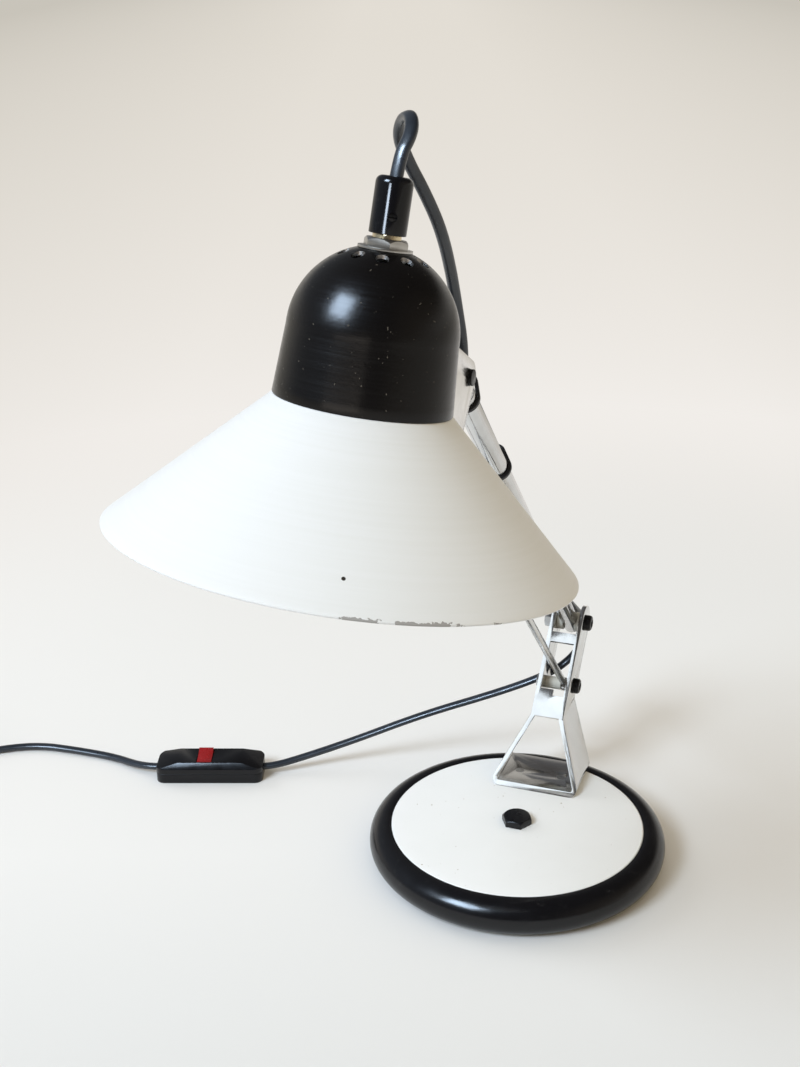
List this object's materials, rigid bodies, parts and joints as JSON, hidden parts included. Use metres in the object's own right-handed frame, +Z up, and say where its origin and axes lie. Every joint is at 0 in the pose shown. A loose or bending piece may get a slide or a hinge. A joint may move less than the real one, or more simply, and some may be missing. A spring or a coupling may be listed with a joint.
{
  "type": "tabletop searchlight lamp",
  "caption": "Desk lamp with a round weighted base, a folded chromed bracket, a parallelogram arm of tube and rod, a tilting bell-shaped shade and an inline switch on its cable",
  "frame": {"origin": "centre of the base's underside, on the surface that the lamp stands on", "axes": "+Z up, +X the lamp's right, +Y its back: the arm leans forward towards -Y"},
  "size_m": [0.5776, 0.4292, 0.4128],
  "materials": {
    "band_rubber": "matt black",
    "black_steel": "black oxide",
    "bracket_chrome": "polished chrome",
    "brass": "plain",
    "bulb_glass": "frosted",
    "bulb_metal": "thin threaded cap",
    "cable_blue": "satin dark blue-grey",
    "cap_black": "satin black enamel",
    "cast_weight": "rough casting",
    "ceramic": "glazed ceramic",
    "dark_pins": "dark brown oxide",
    "felt_pad": "felt",
    "fibre": "fibre",
    "grip_black": "glossy black",
    "nut_steel": "nickel plated",
    "nylon": "natural",
    "ring_rubber": "glossy black",
    "rocker_red": "dark translucent red",
    "rod_chrome": "polished chrome",
    "switch_lower": "satin black",
    "switch_upper": "glossy black",
    "tube_chrome": "polished chrome",
    "white_enamel": "off-white enamel",
    "zinc_steel": "zinc plated"
  },
  "bodies": {
    "base": {"base_ring": "ring_rubber", "base_disc": "white_enamel", "base_weight": "cast_weight", "base_pad": "felt_pad", "centre_bolt": "black_steel", "centre_washer": "zinc_steel", "centre_nut": "zinc_steel", "plate_screws": "zinc_steel", "bracket": "bracket_chrome", "arm_pivot_screw": "black_steel", "arm_pivot_nut": "zinc_steel", "rod_pivot_screw": "black_steel", "rod_pivot_nut": "zinc_steel", "rod_pivot_spacers": "nylon", "cable_in_bracket": "cable_blue", "cable_at_pivot": "cable_blue", "cable_to_switch": "cable_blue", "cable_to_coil": "cable_blue", "cable_to_plug": "cable_blue", "spare_coil": "cable_blue", "switch_base": "switch_lower", "switch_cover": "switch_upper", "switch_screws": "zinc_steel", "switch_contacts": "brass", "plug_body": "cable_blue", "plug_pins": "nut_steel"},
    "arm": {"arm_tube": "tube_chrome", "arm_bushes": "nylon", "arm_end_fitting": "zinc_steel", "cable_bands": "band_rubber", "cable_on_arm": "cable_blue"},
    "rod": {"arm_rod": "rod_chrome"},
    "head_link": {"head_link": "zinc_steel", "link_pins": "dark_pins", "link_spacers": "nylon", "tilt_screw": "dark_pins", "tilt_nut": "zinc_steel", "tilt_washers": "fibre", "cable_at_link": "cable_blue"},
    "knuckle": {"knuckle": "zinc_steel", "knuckle_washer": "zinc_steel", "knuckle_nut": "zinc_steel", "cable_at_knuckle": "cable_blue"},
    "head": {"dome_cap": "cap_black", "shade": "white_enamel", "saddle": "grip_black", "inner_saddle": "nylon", "nipple": "brass", "top_washer": "nut_steel", "top_nut": "nut_steel", "inner_nut": "zinc_steel", "cord_grip": "grip_black", "grub_screw": "dark_pins", "lampholder": "grip_black", "holder_insert": "ceramic", "holder_contacts": "brass", "bulb_cap": "bulb_metal", "bulb_glass": "bulb_glass", "cable_at_head": "cable_blue"},
    "rocker": {"switch_rocker": "rocker_red"}
  },
  "joints": [
    {"name": "arm_tilt", "type": "hinge", "parent": "base", "child": "arm", "pos_m": [0, 0.10993, 0.09035], "axis": [1, 0, 0], "range_deg": [-18, 22], "deforming": ["cable_at_pivot"]},
    {"name": "rod_tilt", "type": "hinge", "parent": "base", "child": "rod", "pos_m": [0, 0.08586, 0.06082], "axis": [1, 0, 0], "range_deg": [-18, 22]},
    {"name": "link_level", "type": "hinge", "parent": "arm", "child": "head_link", "pos_m": [0, -0.11386, 0.30051], "axis": [1, 0, 0], "range_deg": [-22, 18], "deforming": ["cable_at_link"]},
    {"name": "head_tilt", "type": "hinge", "parent": "head_link", "child": "knuckle", "pos_m": [0, -0.15216, 0.32121], "axis": [1, 0, 0], "range_deg": [-35, 4], "deforming": ["cable_at_knuckle"]},
    {"name": "head_swivel", "type": "hinge", "parent": "knuckle", "child": "head", "pos_m": [0, -0.20821, 0.33157], "axis": [0, 0.9833, -0.1819], "range_deg": [-31, 19], "deforming": ["cable_at_head"]},
    {"name": "rocker", "type": "hinge", "parent": "base", "child": "rocker", "pos_m": [-0.19764, 0.01777, 0.0094], "axis": [0.945, 0.3271, 0], "range_deg": [-20, 0]}
  ],
  "couplings": [
    {"joint": "rod_tilt", "follows": "arm_tilt", "ratio": 1},
    {"joint": "link_level", "follows": "arm_tilt", "ratio": -1}
  ]
}
